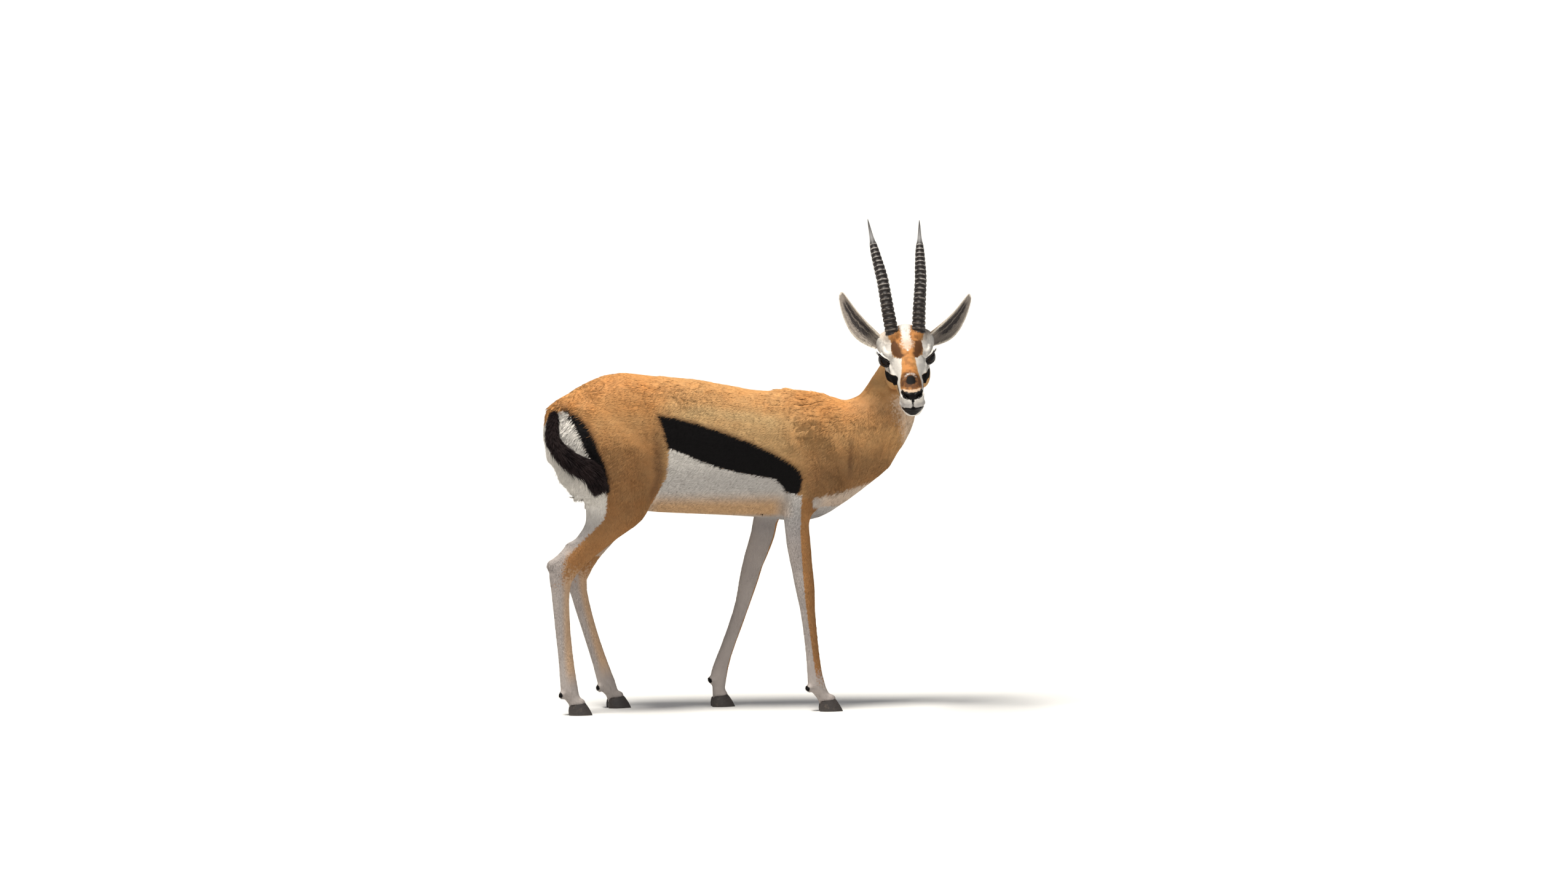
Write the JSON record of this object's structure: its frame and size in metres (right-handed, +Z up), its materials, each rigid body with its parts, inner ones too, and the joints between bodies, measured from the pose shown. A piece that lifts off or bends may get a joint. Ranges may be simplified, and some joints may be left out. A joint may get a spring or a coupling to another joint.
{
  "type": "thomson's gazelle",
  "caption": "Life-size standing male gazelle with its head turned square to its right, ringed horns, cupped ears, hanging tail and cloven hooves on level ground.",
  "frame": {"origin": "middle of the model's box in plan, at ground level under the hooves", "axes": "+X from the tail towards the shoulders, +Y to the animal's left, +Z up. The head is turned towards -Y."},
  "size_m": [0.8462, 0.3207, 0.9621],
  "materials": {
    "coat_tan": "short dense fur, rufous on the back and sandy on the flanks",
    "coat_white": "very short pale fur on the lower legs",
    "coat_black": "longer black hair of the tail",
    "ear": "thin short fur outside, dark skin and white hairs inside",
    "horn": "ringed keratin, dull between the rings and polished on them",
    "eye": "wet and glossy",
    "hoof": "smooth dark keratin with a little dust"
  },
  "bodies": {
    "root": {"trunk": "coat_tan", "neck": "coat_tan", "head": "coat_tan", "ear_left": "ear", "ear_right": "ear", "eye_left": "eye", "eye_right": "eye", "horn_left": "horn", "horn_right": "horn", "tail": "coat_black", "fore_leg_left": "coat_tan", "fore_leg_right": "coat_tan", "hind_leg_left": "coat_tan", "hind_leg_right": "coat_tan", "fore_shank_left": "coat_white", "fore_shank_right": "coat_white", "hind_shank_left": "coat_white", "hind_shank_right": "coat_white", "fore_hoof_left_inner": "hoof", "fore_hoof_left_outer": "hoof", "fore_hoof_right_inner": "hoof", "fore_hoof_right_outer": "hoof", "hind_hoof_left_inner": "hoof", "hind_hoof_left_outer": "hoof", "hind_hoof_right_inner": "hoof", "hind_hoof_right_outer": "hoof"}
  },
  "joints": []
}
